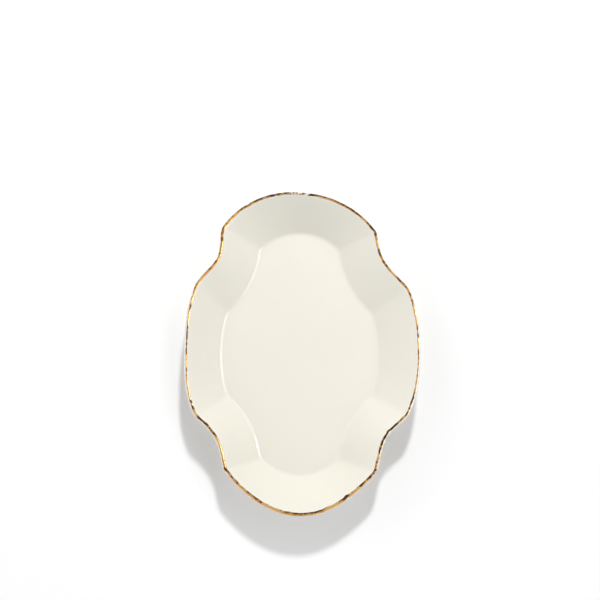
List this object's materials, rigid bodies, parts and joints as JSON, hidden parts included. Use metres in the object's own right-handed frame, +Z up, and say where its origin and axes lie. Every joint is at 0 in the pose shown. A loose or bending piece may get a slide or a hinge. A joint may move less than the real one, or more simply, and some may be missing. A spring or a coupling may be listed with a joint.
{
  "type": "serving platter",
  "caption": "Deep china serving platter with lobed, notched outline, flat well, sloping walls, foot ring and a thin gilded rim.",
  "frame": {"origin": "on the table, under the middle of the platter's box", "axes": "+Z up, +Y along the platter's length, towards the end at the top of the picture, +X to the right of the picture"},
  "size_m": [0.292, 0.4, 0.0453],
  "materials": {
    "glazed_china": "glossy warm white glaze",
    "bare_china": "unglazed, rubbed smooth",
    "burnished_gold": "burnished gilding, slightly worn"
  },
  "bodies": {
    "root": {"dish_body": "glazed_china", "foot_ring": "bare_china", "gilt_rim_band": "burnished_gold"}
  },
  "joints": []
}
